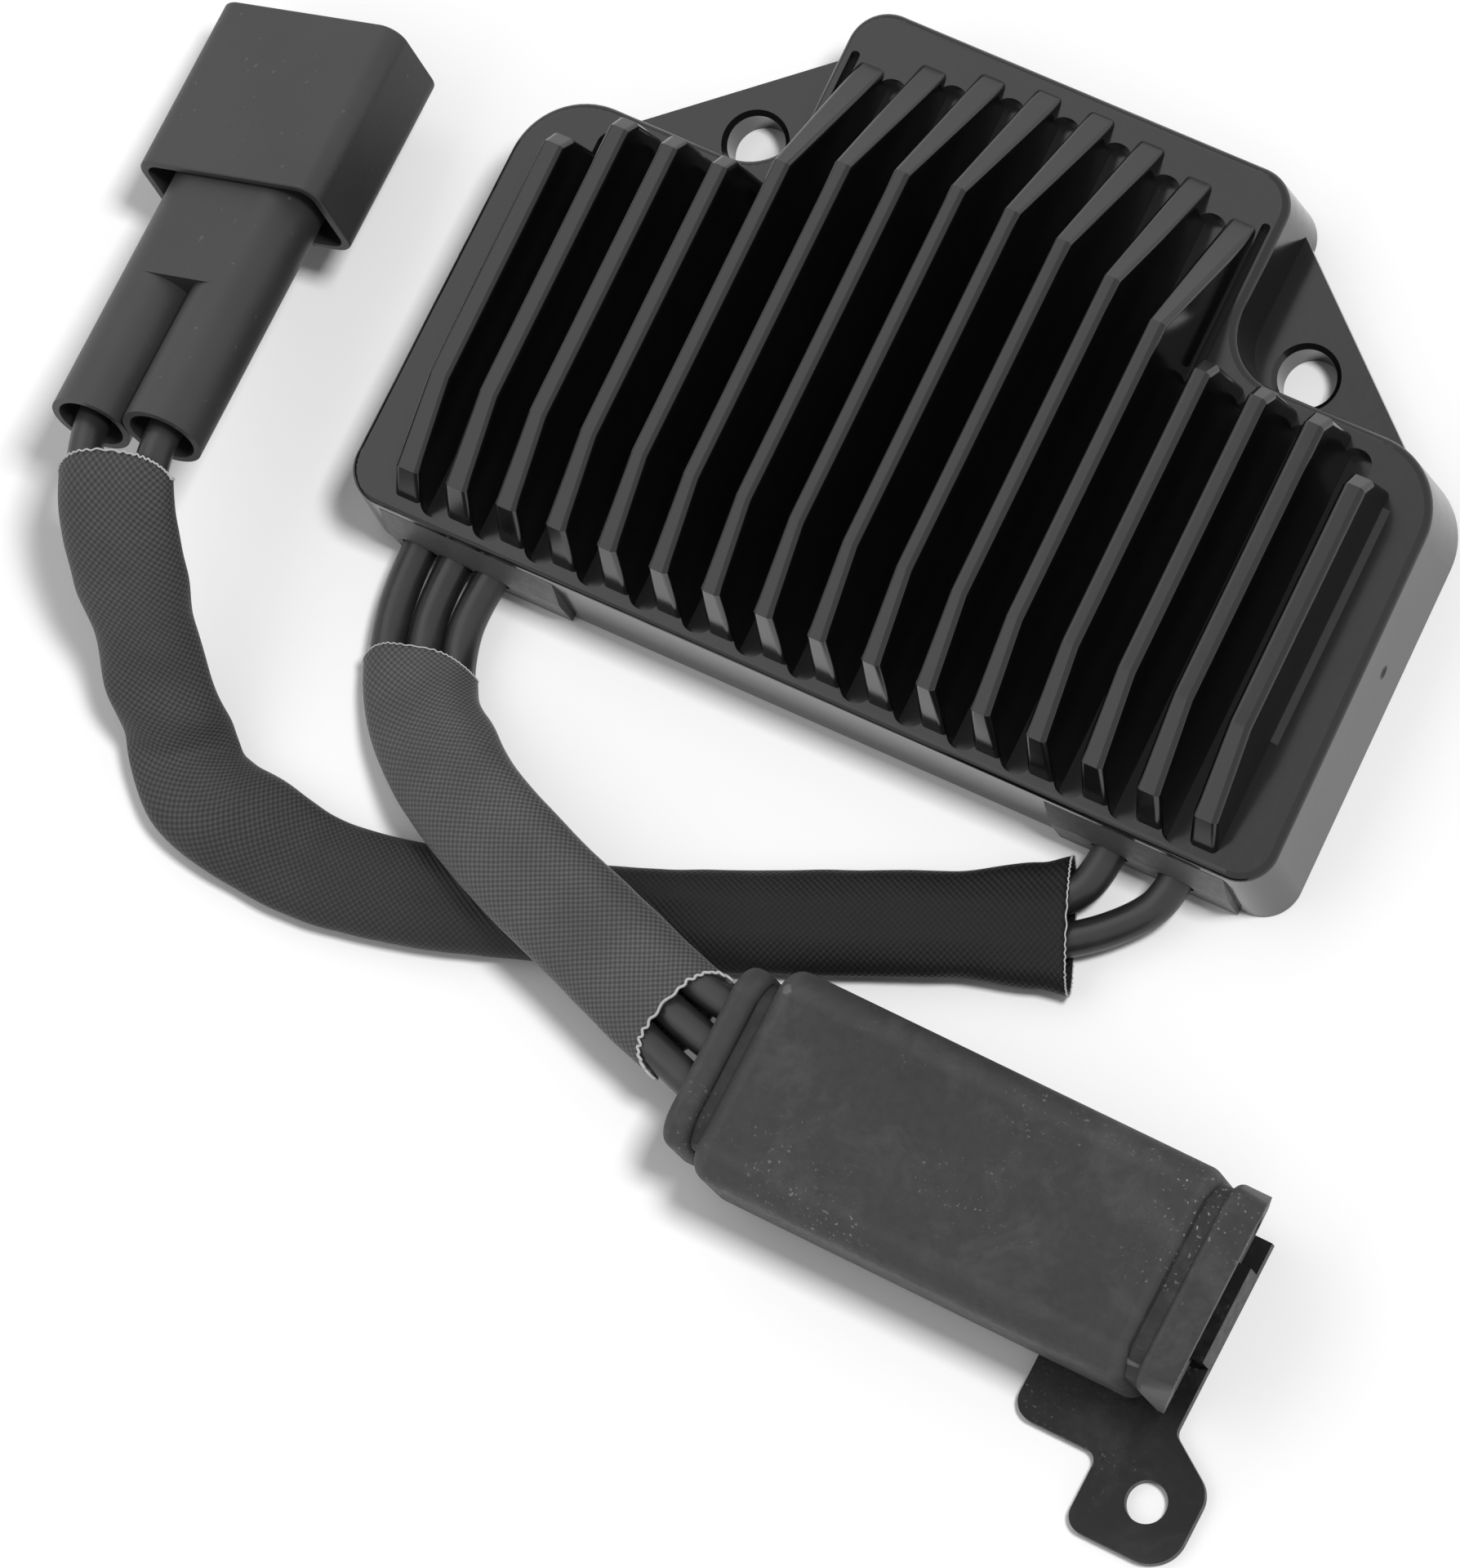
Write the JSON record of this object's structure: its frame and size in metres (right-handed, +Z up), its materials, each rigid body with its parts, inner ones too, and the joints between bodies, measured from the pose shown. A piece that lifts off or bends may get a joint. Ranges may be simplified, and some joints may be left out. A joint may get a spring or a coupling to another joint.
{
  "type": "voltage regulator rectifier",
  "caption": "Black finned regulator rectifier with bolt ears and a potted underside; braided wire tails end in a rubber-booted plug on a bracket and in a hooded plug.",
  "frame": {"origin": "on the surface that the part stands on, under the middle of the regulator body, wire tails left out", "axes": "+X along the body's long side towards the output wires, +Y from the wire side to the narrow rear block, +Z up out of the fins"},
  "size_m": [0.1821, 0.1508, 0.0319],
  "materials": {
    "housing_paint": "gloss black paint on a casting",
    "dam_rubber": "matt",
    "silicone_pad": "matt",
    "device_epoxy": "matt",
    "board_laminate": "satin",
    "capacitor_can": "satin",
    "resistor_ceramic": "satin",
    "potting_resin": "satin",
    "lead_pvc": "soft gloss",
    "braided_sleeve": "woven",
    "plug_nylon": "matt",
    "tinned_brass": "tinned",
    "hood_nylon": "matt",
    "boot_rubber": "matt, dusty",
    "bracket_coating": "dark matt coating"
  },
  "bodies": {
    "root": {"finned_housing": "housing_paint", "wire_dam_stator": "dam_rubber", "wire_dam_output": "dam_rubber", "heat_pad": "silicone_pad", "thyristor_1": "device_epoxy", "thyristor_2": "device_epoxy", "thyristor_3": "device_epoxy", "diode_1": "device_epoxy", "diode_2": "device_epoxy", "diode_3": "device_epoxy", "circuit_board": "board_laminate", "filter_capacitor": "capacitor_can", "control_chip": "device_epoxy", "sense_resistor_1": "resistor_ceramic", "sense_resistor_2": "resistor_ceramic", "potting_compound": "potting_resin", "stator_lead_1": "lead_pvc", "stator_lead_2": "lead_pvc", "stator_lead_3": "lead_pvc", "stator_sleeve": "braided_sleeve", "output_lead_1": "lead_pvc", "output_lead_2": "lead_pvc", "output_sleeve": "braided_sleeve", "output_plug_body": "plug_nylon", "output_terminal_1": "tinned_brass", "output_terminal_2": "tinned_brass", "output_plug_hood": "hood_nylon", "rubber_boot": "boot_rubber", "stator_plug_body": "plug_nylon", "stator_terminal_1": "tinned_brass", "stator_terminal_2": "tinned_brass", "stator_terminal_3": "tinned_brass", "connector_bracket": "bracket_coating"}
  },
  "joints": []
}
